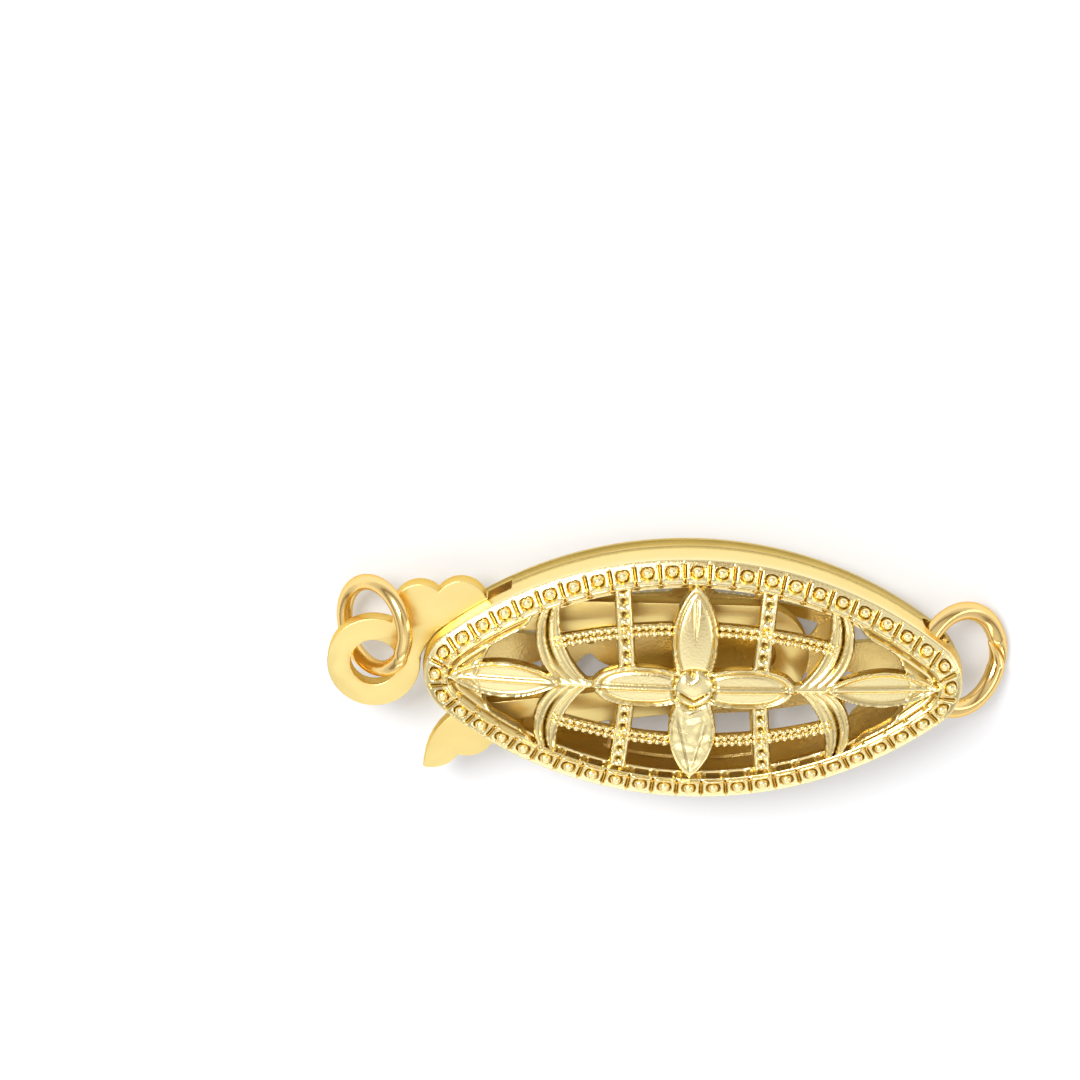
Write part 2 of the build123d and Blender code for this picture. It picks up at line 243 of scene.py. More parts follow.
# %% Outline and dome
def outline_point(facing, inset):
    """Points of the outline moved inwards, from the directions in which they face."""
    on_side = np.abs(np.sin(facing)) > sin(side_lean)
    radius = np.where(on_side, side_radius, tip_radius) - inset
    centre_x = np.where(on_side, 0.0, np.sign(np.cos(facing)) * tip_x)
    centre_y = np.where(on_side, -np.sign(np.sin(facing)) * side_offset, 0.0)
    return centre_x + radius * np.cos(facing), centre_y + radius * np.sin(facing)


def inset_of(x, y):
    """How far points lie inside the outline."""
    on_side = np.arctan2(np.abs(y) + side_offset, np.abs(x)) > side_lean
    from_side = side_radius - np.hypot(x, np.abs(y) + side_offset)
    from_tip = tip_radius - np.hypot(np.abs(x) - tip_x, y)
    return np.where(on_side, from_side, from_tip)


def facing_along(run, inset):
    """Directions faced at runs along the outline moved inwards, anticlockwise from the right tip."""
    tip_run = (tip_radius - inset) * side_lean
    side_run = (side_radius - inset) * (pi - 2 * side_lean)
    runs = [0, tip_run, tip_run + side_run, 3 * tip_run + side_run, 3 * tip_run + 2 * side_run]
    runs.append(4 * tip_run + 2 * side_run)
    turns = [0, side_lean, pi - side_lean, pi + side_lean, 2 * pi - side_lean, 2 * pi]
    return np.interp(run, runs, turns), runs[-1]


def vault(x, y, drop):
    """Height over the seam of a face's domed surface, lowered by drop."""
    flank = cross_radius - drop - long_radius + np.sqrt(long_radius**2 - x**2)
    return np.sqrt(flank**2 - y**2) + crown_height - cross_radius


# %% [markdown]
# Every relief is drawn from two curves, a smooth step and a soft ridge. They take whole arrays of places at
# once, which keeps a relief of a hundred thousand points quick.

# %% Steps, ridges and meshes
def smooth(value, low, high):
    """0 below low, 1 above high, and an even bend between."""
    share = np.clip((value - low) / (high - low), 0, 1)
    return share * share * (3 - 2 * share)


def ridge(value, middle, spread):
    """A soft ridge of height 1, centred on a value."""
    return np.exp(-(((value - middle) / spread) ** 2))


def mesh_object(name, points, faces, material, painted_shade):
    """A mesh from points in millimetres over the table, with smooth shading and its attribute of painted
    shade.
    """
    mesh = bpy.data.meshes.new(name)
    mesh.from_pydata((np.asarray(points) * MM).tolist(), [], faces)
    mesh.shade_smooth()
    layer = mesh.attributes.new("painted_shade", "FLOAT", "POINT")
    layer.data.foreach_set("value", np.asarray(painted_shade, np.float32))
    mesh.materials.append(material)
    return placed(name, mesh)


def faced(faces, face_up):
    """Faces as they are on the front half, and turned over on the back half."""
    return faces if face_up > 0 else [face[::-1] for face in faces]


# %% [markdown]
# The border is a row of square hollows with a pearl in each, a rib between each two, and a lip that curves
# round the inner side of each hollow. All of it is one sheet, as in the casting: its height is worked out
# from where a place lies in its cell, along the border and across it.

# %% One cell of the border
cell_count = 48
steps_per_cell = 22
cell_inset = wall_draft + ledge + border_width / 2
_, border_run = facing_along(0.0, cell_inset)
cell_pitch = border_run / cell_count
cell_half_along = 0.205
cell_half_across = 0.165
cell_corner = 3.0
cell_depth = 0.10
cell_shade = 0.90
lip_across = 0.235
lip_rise = 0.075
rib_rise = 0.05
joint_depth = 0.055
joint_shade = 0.90
pit_depth = 1.3 * joint_depth
pit_shade = 0.80


def cell_relief(along, across):
    """Height of the border's relief, and its painted shade round the hollows, in the joints and in the pits,
    from the place in its cell.
    """
    reach = np.abs(along / cell_half_along) ** cell_corner + np.abs(across / cell_half_across) ** cell_corner
    hollow = smooth(1 - reach ** (1 / cell_corner), -0.02, 0.30)
    from_joint = cell_pitch / 2 - np.abs(along)
    lip = ridge(across, lip_across, 0.05) * np.sqrt(smooth(from_joint, 0.0, 0.16))
    rib = ridge(from_joint, 0, 0.016) * smooth(across, -0.27, -0.22) * (1 - smooth(across, 0.10, 0.18))
    joint = ridge(from_joint, 0.032, 0.018) * (1 - smooth(across, 0.12, 0.16)) * smooth(across, -0.22, -0.16)
    pit = ridge(from_joint, 0, 0.035) * smooth(across, 0.13, 0.18)
    height = lip_rise * lip - cell_depth * hollow + rib_rise * rib - joint_depth * joint - pit_depth * pit
    # Painted shade round the rim of each hollow, in the joints between cells and in the pits.
    edge = ridge(hollow, 0.80, 0.40) * (hollow > 0)
    return height, np.clip(cell_shade * edge + joint_shade * joint + pit_shade * pit, 0, 1)


print("border of cells in mm:", round(border_run, 2), "one cell:", round(cell_pitch, 3))

# %% [markdown]
# The throat for the hook and the two holes for the ring are where the wall's lower edge lifts off the seam:
# by half the throat's height, or by a half circle over a hole.

# %% Throat and ring holes, as the solids have them
throat_half = 0.31
throat_upper_x = -4.755
throat_lower_x = -4.926
ring_hole_radius = 0.46
upper_hole_along = 1.55
lower_hole_along = -1.10


def edge_lift(x, y):
    """How far the wall's lower edge stands off the seam."""
    lift = np.where((y > 0) & (x < throat_upper_x), throat_half, 0.0)
    lift = np.where((y <= 0) & (x < throat_lower_x), throat_half, lift)
    for hole_along in (upper_hole_along, lower_hole_along):
        turn, _ = facing_along(abs(hole_along), 0.0)
        turn = turn * np.sign(hole_along)
        hole_x, hole_y = outline_point(turn, wall / 2)
        from_axis = -(x - hole_x) * sin(turn) + (y - hole_y) * cos(turn)
        near = np.hypot(x - hole_x, y - hole_y) < ring_hole_radius
        lift = np.where(near, np.sqrt(np.clip(ring_hole_radius**2 - from_axis**2, 0, None)), lift)
    return lift


print("throat in mm:", 2 * throat_half, "high, ring holes:", 2 * ring_hole_radius, "across")

# %% [markdown]
# The rim of each half is one closed loop. Its section runs up the drafted wall, over a polished ledge and
# across the sloping row of cells, falls to the filigree over a sunk panel under each cell, and goes back
# down the inside. A loft could do the plain section, but here each place of the outline has its own relief,
# so the loop is built station by station. Shade is painted into the seam's line, the throat, the fall and
# its sunk panels and the inside, and down each wall: evenly on the front half, and on the back half deeper
# from the seam to its edge.

# %% Rim of a half: wall, ledge and border of cells
chamfer = 0.04
# Painted shade for the seam's line, the throat, each wall, the sunk panels and the inside is set among these
# sizes.
seam_shade = 1.0
throat_shade = 0.35
wall_shades = {1: (0.10, 0.10), -1: (0.55, 1.0)}
edge_bend = 0.015
edge_width = 0.05
row_step = 0.02
lip_inset = 0.655
lip_run = 0.17
lip_fall = 0.25
lip_bend = 0.01
panel_depth = 0.05
panel_shade = 0.8
post_rise = 0.02
inside_shade = 0.4
# Rows down the fall: share of it, 1 where the panel is sunk, and swell
panel_rows = (
    (0.0, 0, 0.0), (0.10, 0, 0.02), (0.22, 1, 0.0), (0.50, 1, 0.0), (0.74, 1, 0.0),
    (0.82, 0, 0.01), (0.92, 0, 0.03), (1.0, 0, 0.0),
)


def loop_faces(rows, columns):
    """The faces of a grid that closes on itself both ways."""
    faces = []
    for row in range(rows):
        above = (row + 1) % rows * columns
        for column in range(columns):
            beside = (column + 1) % columns
            faces.append([row * columns + column, row * columns + beside, above + beside, above + column])
    return faces


def rim(name, face_up, material):
    """One half's rim. face_up is 1 for the front half and -1 for the back."""
    columns = cell_count * steps_per_cell
    run = np.arange(columns) * border_run / columns
    facing, _ = facing_along(run, cell_inset)
    along = ((run / cell_pitch + 0.5) % 1 - 0.5) * cell_pitch
    lift = edge_lift(*outline_point(facing, wall / 2))
    points = []
    painted_shade = []

    def station(inset, height, tone=0.0):
        x, y = outline_point(facing, inset)
        points.append(np.stack([x, y, np.broadcast_to(height, x.shape)], axis=1))
        painted_shade.append(np.broadcast_to(tone, x.shape))

    # Painted shade: darkest in the seam's line, lighter on the throat's cut face.
    station(chamfer, lift, np.where(lift > 0, throat_shade, seam_shade))
    # The wall's painted shade runs from its value at the seam to its value at the edge, with none on the edge
    # itself.
    low_shade, high_shade = wall_shades[face_up]
    for share in (0.0, 0.25, 0.5, 0.75, 1.0):
        height = (lift + chamfer) * (1 - share) + (rim_height - edge_width) * share
        tone = low_shade + (high_shade - low_shade) * share
        station(wall_draft * height / rim_height, height, tone * (share < 1))
    station(wall_draft + edge_bend, rim_height - edge_bend)
    station(wall_draft + edge_width, rim_height)
    for inset in np.arange(wall_draft + ledge - 0.01, lip_inset, row_step):
        on_slope = np.clip(inset - wall_draft - ledge, 0, border_width)
        slope = rim_height + border_rise * on_slope / border_width
        height, tone = cell_relief(along, inset - cell_inset)
        fade = smooth(inset, wall_draft + ledge - 0.02, wall_draft + ledge + 0.03)
        station(inset, slope + fade * height, fade * tone)
    top = rim_height + border_rise - lip_bend
    panel = 1 - smooth(np.abs(along), cell_half_along - 0.02, cell_half_along + 0.04)
    post = post_rise * ridge(cell_pitch / 2 - np.abs(along), 0, 0.03)
    fall_angle = atan2(lip_fall, lip_run)
    # Painted shade: a little down the whole fall, and more in each sunk panel.
    for share, sunk, swell in panel_rows:
        out = swell + sunk * (post - panel_depth * panel)
        inset = lip_inset + lip_bend + lip_run * share + out * sin(fall_angle)
        height = top - lip_fall * share + out * cos(fall_angle)
        station(inset, height, 0.05 + panel_shade * sunk * panel)
    # Painted shade on the inside of the rim.
    station(lip_inset + lip_run - lip_bend, top - lip_fall - 0.04, inside_shade)
    station(wall + wall_draft, rim_height - wall, inside_shade)
    for share in (0.5, 1.0):
        station(wall, (rim_height - wall) * (1 - share) + lift * share, inside_shade)

    faces = faced(loop_faces(len(points), columns), face_up)
    points = np.concatenate(points)
    points[:, 2] = seam_height + face_up * points[:, 2]
    made = mesh_object(name, points, faces, material, np.concatenate(painted_shade))
    made.data.set_sharp_from_angle(angle=radians(55))
    return made


front_rim = rim("front_rim", 1, cast_gold)
back_rim = rim("back_rim", -1, cast_gold)
print("rim faces:", len(front_rim.data.polygons))

# %% [markdown]
# The filigree of each face is a sheet that was modelled in wax and cast, so its bars, leaves and boss melt
# into each other with small fillets. Boolean unions would leave hard corners. Instead each ornament is a
# function of the place: how far it lies inside the ornament's edge, and how high the metal stands there
# over the crown.

# %% Ornament sizes
petal_start = 0.30
petal_blunt = 0.80
side_petal_width = 1.12
side_petal_end = 2.64
cross_petal_width = 1.20
cross_petal_end = 2.733
upright_foot = 1.695
upright_head = 1.94
upright_width = 0.46
rail_crest = 1.554
rail_end = 1.049
rail_reach = 3.656
rail_width = 0.32
leaf_start = 3.50
leaf_width = 1.00
leaf_blunt = 0.11
stem_start = 2.3
stem_end = 3.7
stem_width = 0.26
scroll_left = ((2.62, 0.0), (3.28, 0.80), (3.50, 2.11))
scroll_right = ((3.50, 0.0), (4.15, 1.15), (3.90, 2.11))
scroll_end = 2.3
rail_curve = ((-rail_reach, rail_end), (0, rail_crest), (rail_reach, rail_end))
web_width = 0.62
web_pitch = 0.22
web_crest = 0.86
boss_radius = 0.50
boss_rise = 0.06
edge_round = 0.07
print("petals in mm:", cross_petal_end - petal_start, "across,", side_petal_end, "along")

# %% [markdown]
# A leaf is what two arcs hold between them. A distance is above 0 inside an ornament and below 0 outside
# it, and every edge rounds off by the same small radius.

# %% Shapes that the ornaments share
def circle_through(first, second, third):
    """Centre and radius of the circle through three points."""
    (ax, ay), (bx, by), (cx, cy) = first, second, third
    scale = 2 * (ax * (by - cy) + bx * (cy - ay) + cx * (ay - by))
    a, b, c = ax * ax + ay * ay, bx * bx + by * by, cx * cx + cy * cy
    x = (a * (by - cy) + b * (cy - ay) + c * (ay - by)) / scale
    y = (a * (cx - bx) + b * (ax - cx) + c * (bx - ax)) / scale
    return x, y, sqrt((ax - x) ** 2 + (ay - y) ** 2)


def inside_circle(u, v, circle):
    """How far points lie inside a circle."""
    x, y, radius = circle
    return radius - np.hypot(u - x, v - y)


def rounded(distance):
    """An ornament's rounded shoulder: 0 on its top, falling away at and beyond its edge."""
    inside = np.clip(distance / edge_round, 0, 1)
    return edge_round * (np.sqrt(1 - (1 - inside) ** 2) - 1) + 3.0 * np.minimum(distance, 0)


def leaf(u, v, start, end, blunt, width, tip=0.0):
    """Distance inside a leaf along u with a rounded tip, and how far across it points lie, 1 at its edge."""
    side = circle_through((start, blunt / 2), ((start + end) / 2, width / 2), (end, tip))
    distance = np.minimum(inside_circle(u, np.hypot(v, tip), side), u - start)
    half = np.sqrt(np.clip(side[2] ** 2 - (u - side[0]) ** 2, 1e-6, None)) + side[1]
    return distance, np.clip(v / np.clip(half, 1e-3, None), 0, 1)


def oval(u, v, start, end, width):
    """The same for an oval leaf."""
    half = (end - start) / 2
    along = np.abs(u - start - half) / half
    reach = np.sqrt(along**2.5 + (2 * v / width) ** 2)
    belly = np.sqrt(np.clip(1 - along**2.5, 0.01, None)) * width / 2
    return (1 - reach) * width / 2, np.clip(v / belly, 0, 1)


# %% [markdown]
# The flower has four petals round a boss. The two along the clasp are smooth halves with a bright midrib,
# the upper one is full, and the lower one is rough, as it came from the mould. Each height is a level and
# the forms that stand on it or are sunk in it.

# %% Petals and boss
def roughness(x, y):
    """Low lumps, as on the parts of a casting that no tool has touched."""
    waves = ((7.1, 3.3, 0.4), (-5.2, 8.7, 1.9), (11.3, -6.1, 3.1), (4.4, 13.7, 5.2), (-14.9, -3.8, 0.9))
    return sum(np.sin(p * x + q * y + phase) for p, q, phase in waves) / len(waves)


def by_boss(x, y):
    """How far petals sink where they run into the boss."""
    return 0.13 * (1 - smooth(np.hypot(x, y), boss_radius - 0.06, boss_radius + 0.16))


def side_petals(x, y):
    """Two smooth halves that slope from a bright midrib to a thin raised outline."""
    u, v = np.abs(x), np.abs(y)
    distance, across = oval(u, v, 0.0, side_petal_end, side_petal_width)
    level = -0.075
    outline = 0.045 * ridge(distance, 0.055, 0.035)
    slope = 0.035 * (1 - across)
    valley = 0.045 * ridge(distance, 0.13, 0.04)
    midrib = 0.10 * ridge(v, 0, 0.045)
    height = level + outline + slope - valley + midrib - by_boss(x, y)
    return distance, height + rounded(distance)


def upper_petal(x, y):
    """A full, smooth petal in a raised outline, with a groove from its tip to its middle."""
    distance, across = leaf(y, np.abs(x), petal_start, cross_petal_end, petal_blunt, cross_petal_width, 0.08)
    level = -0.06
    outline = 0.04 * ridge(distance, 0.055, 0.035)
    valley = 0.05 * ridge(distance, 0.13, 0.035)
    belly = 0.06 * (1 - across**2)
    groove_width = 0.02 + 0.04 * smooth(y, 1.2, 2.4)
    groove = 0.05 * ridge(x, 0, groove_width) * smooth(y, 1.1, 1.9) * (1 - smooth(y, 2.3, 2.5))
    height = level + outline - valley + belly - by_boss(x, y) - groove
    return distance, height + rounded(distance)


def lower_petal(x, y):
    """A rough petal: an arrow-like inner leaf, and a small lobe by the boss."""
    u, v = -y, np.abs(x)
    distance, across = leaf(u, v, petal_start, cross_petal_end, petal_blunt, cross_petal_width)
    level = -0.08
    outline = 0.04 * ridge(distance, 0.055, 0.035)
    from_inner_leaf = v - 0.34 * np.clip((2.35 - u) / 1.5, 0, 1)
    inner_leaf = 0.035 * ridge(from_inner_leaf, 0, 0.06) * smooth(u, 0.7, 0.9)
    lumps = 0.035 * roughness(x, y) * smooth(distance, 0.05, 0.15)
    slope = 0.03 * (1 - across)
    lobe = 0.06 * ridge(np.hypot(x + 0.10, u - 0.78), 0, 0.18)
    height = level + outline + inner_leaf + lumps + slope + lobe - by_boss(x, y)
    return distance, height + rounded(distance)


def boss(x, y):
    """The round boss, with a V-shaped fold at its foot and a notch at its head."""
    radius = np.hypot(x, y)
    distance = boss_radius - radius
    dome = 0.20 * (1 - np.sqrt(1 - np.clip(radius / (boss_radius + 0.02), 0, 1) ** 2))
    fold = 0.13 * ridge(y + 0.34, 0.6 * np.abs(x), 0.05) * (1 - smooth(np.abs(x), 0.30, 0.44))
    notch = 0.18 * ridge(np.hypot(1.4 * (x + 0.08), y - 0.42), 0, 0.13)
    return distance, boss_rise - dome - fold - notch + 2.0 * np.minimum(distance, 0)


# %% [markdown]
# The flower is held by a lattice: an upright bar on each side of it, and two curved rails that cross them
# and carry the ropes of beads.

# %% Lattice
def uprights(x, y):
    """Flat bars with raised edges and a row of oval lumps between them."""
    u, v = np.abs(x), np.abs(y)
    lean = atan2(upright_head - upright_foot, field_half_width)
    across = (u - upright_foot) * cos(lean) - v * sin(lean)
    distance = upright_width / 2 - np.abs(across)
    level = -0.17
    edges = 0.05 * ridge(np.abs(across), 0.15, 0.05)
    lump = 0.5 + 0.5 * np.cos(2 * pi * v / 0.34)
    lumps = (0.07 * lump - 0.09 * (1 - lump)) * ridge(across, 0, 0.075)
    return distance, level + edges + lumps + rounded(distance)


def rails(x, y):
    """Curved rails, with a groove between their two ropes of beads."""
    across = inside_circle(x, np.abs(y), circle_through(*rail_curve))
    distance = np.minimum(rail_width / 2 - np.abs(across), rail_reach - np.abs(x))
    level = -0.19
    groove = 0.08 * ridge(across, 0, 0.03)
    return distance, level - groove + rounded(distance)


# %% [markdown]
# Beyond each side petal a short stem carries two scroll leaves, which reach the border, and a long end leaf
# that fills the tip between two ridged webs.

# %% Scrolls, stems, end leaves and webs
def scrolls(x, y):
    """Scroll leaves: two ridges from the stem to the border, with a groove that deepens at the head."""
    u, v = np.abs(x), np.abs(y)
    inner = -inside_circle(u, v, circle_through(*scroll_left))
    outer = inside_circle(u, v, circle_through(*scroll_right))
    distance = np.minimum(np.minimum(inner, outer), scroll_end - v)
    share = inner / np.clip(inner + outer, 0.05, None)
    level = -0.16
    edges = 0.05 * (ridge(inner, 0.055, 0.04) + ridge(outer, 0.055, 0.04))
    ridges = 0.065 * (ridge(share, 0.43, 0.07) + ridge(share, 0.68, 0.07))
    groove = 0.09 * ridge(share, 0.55, 0.06) * smooth(v, 0.25, 0.8)
    return distance, level + edges + ridges - groove + rounded(distance)


def stems(x, y):
    """The stem between each side petal and the scrolls' node."""
    u, v = np.abs(x), np.abs(y)
    distance = np.minimum(stem_width / 2 - v, np.minimum(u - stem_start, stem_end - u))
    level = -0.12
    midrib = 0.06 * ridge(v, 0, 0.05)
    return distance, level + midrib + rounded(distance)


def end_leaves(x, y):
    """Leaves at the tips: raised edges, two hollowed panels and a midrib into the tip's cell."""
    u, v = np.abs(x), np.abs(y)
    distance, across = leaf(u, v, leaf_start, field_half_length, leaf_blunt, leaf_width)
    level = -0.06
    outline = 0.05 * ridge(distance, 0.05, 0.035)
    panels = 0.06 * smooth(distance, 0.06, 0.18)
    midrib = 0.09 * ridge(v, 0, 0.045)
    return distance, level + outline - panels + midrib + rounded(distance)


def tip_webs(x, y):
    """Ridged bands along the border, wider towards the tips."""
    inset = inset_of(x, y)
    band = web_width + 0.33 * smooth(np.abs(x), 3.9, 4.6) + 0.7 * smooth(np.abs(x), 5.2, 6.0)
    distance = band - inset
    level = -0.14
    ridges = 0.05 * np.cos(2 * pi * (inset - web_crest) / web_pitch)
    edge = 0.05 * ridge(distance, 0.07, 0.045)
    return distance, level + ridges + edge + rounded(distance)


# %% [markdown]
# Where ornaments meet, the smooth maximum is a little higher than either, which is the fillet. The same
# rule on the distances rounds the corners of the openings.

# %% Plan and height of the filigree
ornaments = (
    side_petals, upper_petal, lower_petal, uprights, rails, scrolls, stems, end_leaves, tip_webs, boss,
)
plan_fillet = 0.018
height_fillet = 0.012
under_border = 0.10


def soft_maximum(values, blend):
    """The maximum of several surfaces, rounded where two of them meet."""
    top = np.max(values, axis=0)
    return top + blend * np.log(sum(np.exp((value - top) / blend) for value in values))


def sheet_plan(x, y):
    """How far points lie inside the metal, seen from above."""
    plan = soft_maximum([ornament(x, y)[0] for ornament in ornaments], plan_fillet)
    return np.minimum(plan, inset_of(x, y) - field_inset + under_border)


def sheet_height(x, y):
    """Height of the metal over the crown's vault."""
    return soft_maximum([ornament(x, y)[1] for ornament in ornaments], height_fillet)


def mean_height(x, y, reach, turns):
    """The mean height at places around each point."""
    places = [(reach * cos(turn), reach * sin(turn)) for turn in np.arange(turns) * 2 * pi / turns]
    return np.mean([sheet_height(x + along, y + up) for along, up in places], axis=0)


# %% [markdown]
# Marching squares: a grid square whose four corners lie in the metal becomes a face, and one that the edge
# crosses is cut where the plan is nought. The letters name the square's corners a to d, anticlockwise, and
# the crossings on its bottom, right, top and left sides e, f, g and i. A pair of crossings next to each
# other in a face is a piece of the edge, and gets a wall down to the underside.

# %% The sheet's mesh, seen from above
grid = 0.032
grid_margin = 0.12
nearest_share = 0.12
shapes_of_square = {
    1: ["aei"], 2: ["bfe"], 3: ["abfi"], 4: ["cgf"], 5: ["aei", "cgf"], 6: ["bcge"], 7: ["abcgi"],
    8: ["dig"], 9: ["aegd"], 10: ["bfe", "dig"], 11: ["abfgd"], 12: ["cdif"], 13: ["aefcd"],
    14: ["bcdie"], 15: ["abcd"],
}


def traced_sheet():
    """The places of the sheet's points, and its faces on top, below and down the edges."""
    across = np.arange(-field_half_length - grid_margin, field_half_length + grid_margin + grid, grid)
    upward = np.arange(-field_half_width - grid_margin, field_half_width + grid_margin + grid, grid)
    x, y = np.meshgrid(across, upward, indexing="ij")
    plan = sheet_plan(x, y)
    inside = plan > 0
    columns, rows = x.shape
    count = inside.sum()
    corner = np.full(x.shape, -1)
    corner[inside] = np.arange(count)
    places_x = [x[inside]]
    places_y = [y[inside]]
    crossings = []
    for step_x, step_y in ((1, 0), (0, 1)):
        first = slice(columns - step_x), slice(rows - step_y)
        second = slice(step_x, None), slice(step_y, None)
        crossed = (plan[first] > 0) != (plan[second] > 0)
        drop = np.where(crossed, plan[first] - plan[second], 1.0)
        share = np.clip(plan[first] / drop, nearest_share, 1 - nearest_share)[crossed]
        places_x.append(x[first][crossed] + share * grid * step_x)
        places_y.append(y[first][crossed] + share * grid * step_y)
        index = np.full(x.shape, -1)
        index[first][crossed] = count + np.arange(crossed.sum())
        crossings.append(index)
        count += crossed.sum()

    level, upright = crossings
    pick = {
        "a": corner[:-1, :-1], "b": corner[1:, :-1], "c": corner[1:, 1:], "d": corner[:-1, 1:],
        "e": level[:-1, :-1], "f": upright[1:, :-1], "g": level[:-1, 1:], "i": upright[:-1, :-1],
    }
    square = sum((pick[key] >= 0) * 2**bit for bit, key in enumerate("abcd"))
    top = []
    edges = []
    for number, shapes in shapes_of_square.items():
        for shape in shapes:
            loops = np.stack([pick[key][square == number] for key in shape], axis=1)
            top.extend(loops.tolist())
            for first in range(len(shape)):
                second = (first + 1) % len(shape)
                if shape[first] in "efgi" and shape[second] in "efgi":
                    start, end = loops[:, first], loops[:, second]
                    edges.extend(np.stack([end, start, start + count, end + count], axis=1).tolist())
    below = [[index + count for index in face[::-1]] for face in top]
    return np.concatenate(places_x), np.concatenate(places_y), top + edges + below


sheet_x, sheet_y, sheet_faces = traced_sheet()
print("sheet points:", len(sheet_x), "faces:", len(sheet_faces))

# %% [markdown]
# The plan gets its heights, averaged over a grid square so that no ridge is jagged. Shade is painted where a
# place lies lower than what is around it and where the relief sinks low, and evenly on the underside, which
# is the plain inside of the dome.

# %% Filigree of a face
around = 8
# Painted shade in hollows and in low relief, and on the underside.
cavity_reach = 0.08
cavity_depth = 0.06
cavity_shade = 0.75
low_relief = 0.15
low_gain = 2.1
low_shade = 0.25
under_shade = 0.45
inner_drop = 0.38
least_thickness = 0.10
sheet_relief = sheet_height(sheet_x, sheet_y) + around * mean_height(sheet_x, sheet_y, 0.5 * grid, around)
sheet_relief = sheet_relief / (around + 1)
sheet_cavity = mean_height(sheet_x, sheet_y, cavity_reach, around) - sheet_relief


def filigree(name, face_up, material):
    """A face's pierced sheet: the ornaments on top and the dome's inside below."""
    crown = vault(sheet_x, sheet_y, 0.0)
    under = vault(sheet_x, sheet_y, inner_drop)
    top = np.maximum(crown + sheet_relief, under + least_thickness)
    if face_up < 0:
        top = np.minimum(top, seam_height)
    points = np.concatenate([
        np.stack([sheet_x, sheet_y, seam_height + face_up * height], axis=1) for height in (top, under)
    ])
    # Painted shade: deeper in low relief and in hollows, and even on the underside.
    low = np.clip(low_gain * (crown - low_relief - top), 0, low_shade)
    painted_shade = low + np.clip(sheet_cavity / cavity_depth, 0, cavity_shade)
    painted_shade = np.concatenate([painted_shade, np.full(len(under), under_shade)])
    made = mesh_object(name, points, faced(sheet_faces, face_up), material, painted_shade)
    made.data.set_sharp_from_angle(angle=radians(60))
    return made


front_filigree = filigree("front_filigree", 1, cast_gold)
back_filigree = filigree("back_filigree", -1, cast_gold)
print("filigree faces:", len(front_filigree.data.polygons))

# %% [markdown]
# What repeats or follows a path is grown by Geometry Nodes. A tree starts with its named inputs and ends by
# making its instances real. Its result is then kept as a plain mesh.

# %% Growing meshes from paths
def growth_tree(name, inputs):
    """A tree with named inputs: its board, and a wire from each input."""
    tree = bpy.data.node_groups.new(name, "GeometryNodeTree")
    for label, kind in inputs.items():
        tree.interface.new_socket(label, in_out="INPUT", socket_type="NodeSocket" + kind)
    tree.interface.new_socket("Mesh", in_out="OUTPUT", socket_type="NodeSocketGeometry")
    board = Board(tree)
    given = tree.nodes.new("NodeGroupInput")
    return board, {socket.name: Wire(board, socket) for socket in given.outputs}


def end_tree(board, mesh, material):
    """The tree of a board, ended in its real, smooth mesh with its material."""
    mesh = board.add("GeometryNodeRealizeInstances", {"Geometry": mesh})
    mesh = board.add("GeometryNodeSetShadeSmooth", {"Geometry": mesh})
    mesh = board.add("GeometryNodeSetMaterial", {"Geometry": mesh, "Material": material})
    result = board.tree.nodes.new("NodeGroupOutput")
    board.tree.links.new(mesh.socket, result.inputs[0])
    return board.tree


def path_curve(name, points, closed):
    """A curve through points in millimetres over the table."""
    curve = bpy.data.curves.new(name, "CURVE")
    curve.dimensions = "3D"
    spline = curve.splines.new("POLY")
    spline.points.add(len(points) - 1)
    for knot, (x, y, z) in zip(spline.points, points):
        knot.co = (x * MM, y * MM, z * MM, 1)
    spline.use_cyclic_u = closed
    return placed(name, curve)


def grown(path, tree, values, name):
    """The plain mesh that a node tree makes from a path, with the path removed."""
    growth = path.modifiers.new("growth", "NODES")
    growth.node_group = tree
    for item in tree.interface.items_tree:
        if item.in_out == "INPUT" and item.name in values:
            growth[item.identifier] = values[item.name]
    evaluated = path.evaluated_get(bpy.context.evaluated_depsgraph_get())
    made = placed(name, bpy.data.meshes.new_from_object(evaluated))
    bpy.data.objects.remove(path)
    return made


# %% [markdown]
# Pearls sit in a row of cells, and the rails' ropes are rows of smaller beads. Each row follows a line, so
# one tree makes them all: it spaces points evenly along a curve, puts a dimpled bead on each, and varies
# their size a little by a fixed seed, as cast beads vary.

